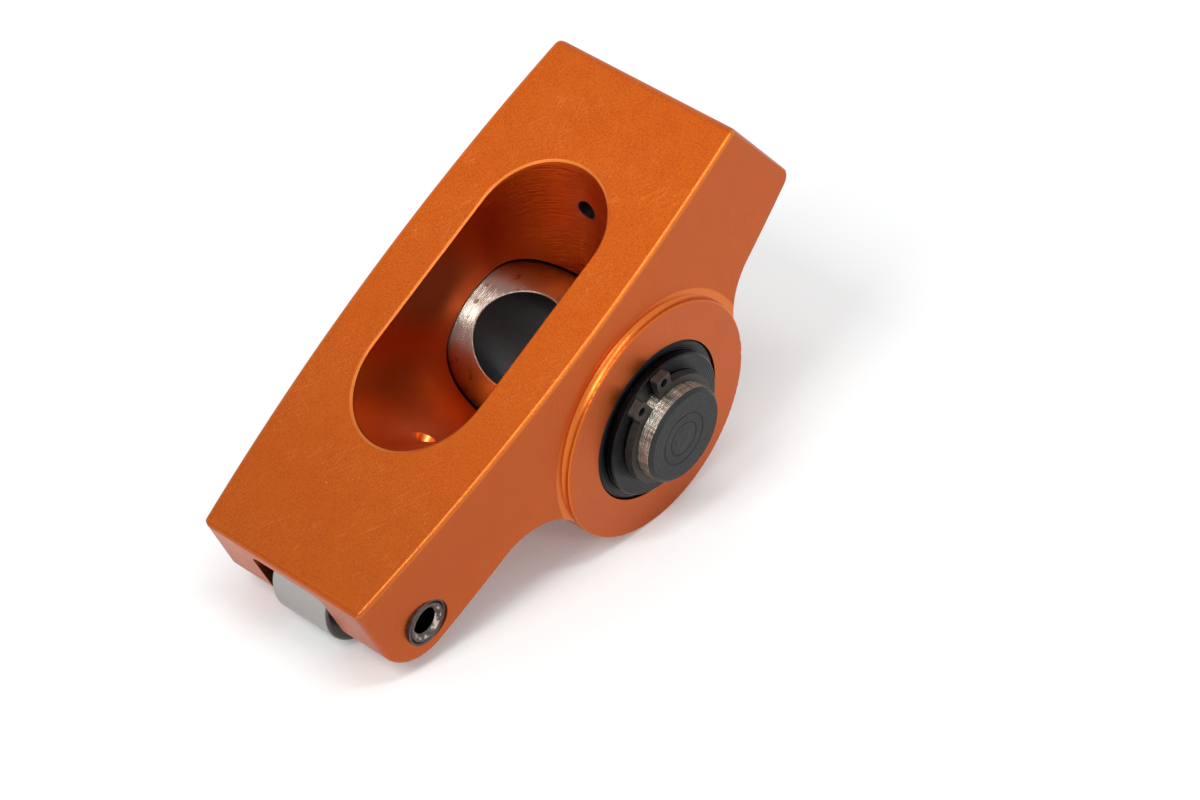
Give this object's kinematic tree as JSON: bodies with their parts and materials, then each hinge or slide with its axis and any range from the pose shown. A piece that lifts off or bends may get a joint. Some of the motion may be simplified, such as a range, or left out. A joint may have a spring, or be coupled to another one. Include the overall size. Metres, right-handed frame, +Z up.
{
  "type": "roller rocker arm",
  "caption": "Stud-mounted roller rocker arm: orange anodised aluminium arm on a needle-bearing trunnion, roller nose, pushrod seat under the tail.",
  "frame": {"origin": "centre of the trunnion, where its axis crosses the stud hole's axis", "axes": "+Y along the trunnion, +X towards the pushrod end along the part's longest side, +Z up as the arm rests on its round boss and its roller"},
  "size_m": [0.0707, 0.0406, 0.0464],
  "materials": {
    "orange_anodised": "satin orange anodised",
    "ground_steel": "ground",
    "black_steel": "satin black oxide",
    "spring_steel": "phosphate brown-grey",
    "dark_steel": "hardened, heat-darkened",
    "needle_steel": "polished"
  },
  "bodies": {
    "arm": {"arm_body": "orange_anodised", "bearing_cup_left": "black_steel", "bearing_cup_right": "black_steel", "roller_axle": "dark_steel", "pushrod_seat": "dark_steel"},
    "trunnion": {"trunnion": "ground_steel", "thrust_washer_left": "black_steel", "thrust_washer_right": "black_steel", "snap_ring_left": "spring_steel", "snap_ring_right": "spring_steel"},
    "needles_left": {"needle_left_01": "needle_steel", "needle_left_02": "needle_steel", "needle_left_03": "needle_steel", "needle_left_04": "needle_steel", "needle_left_05": "needle_steel", "needle_left_06": "needle_steel", "needle_left_07": "needle_steel", "needle_left_08": "needle_steel", "needle_left_09": "needle_steel", "needle_left_10": "needle_steel", "needle_left_11": "needle_steel", "needle_left_12": "needle_steel", "needle_left_13": "needle_steel", "needle_left_14": "needle_steel", "needle_left_15": "needle_steel"},
    "needles_right": {"needle_right_01": "needle_steel", "needle_right_02": "needle_steel", "needle_right_03": "needle_steel", "needle_right_04": "needle_steel", "needle_right_05": "needle_steel", "needle_right_06": "needle_steel", "needle_right_07": "needle_steel", "needle_right_08": "needle_steel", "needle_right_09": "needle_steel", "needle_right_10": "needle_steel", "needle_right_11": "needle_steel", "needle_right_12": "needle_steel", "needle_right_13": "needle_steel", "needle_right_14": "needle_steel", "needle_right_15": "needle_steel"},
    "roller": {"roller_tip": "ground_steel"}
  },
  "joints": [
    {"name": "trunnion_swing", "type": "hinge", "parent": "arm", "child": "trunnion", "pos_m": [0, 0, 0], "axis": [0, 1, 0], "range_deg": [-22, 32]},
    {"name": "needle_orbit_left", "type": "hinge", "parent": "arm", "child": "needles_left", "pos_m": [0, 0, 0], "axis": [0, 1, 0], "range_deg": [-10, 14]},
    {"name": "needle_orbit_right", "type": "hinge", "parent": "arm", "child": "needles_right", "pos_m": [0, 0, 0], "axis": [0, 1, 0], "range_deg": [-10, 14]},
    {"name": "roller_spin", "type": "hinge", "parent": "arm", "child": "roller", "pos_m": [-0.03607, 0, -0.0082], "axis": [0, 1, 0], "continuous": true}
  ],
  "couplings": [
    {"joint": "needle_orbit_left", "follows": "trunnion_swing", "ratio": 0.40264},
    {"joint": "needle_orbit_right", "follows": "trunnion_swing", "ratio": 0.40264}
  ]
}
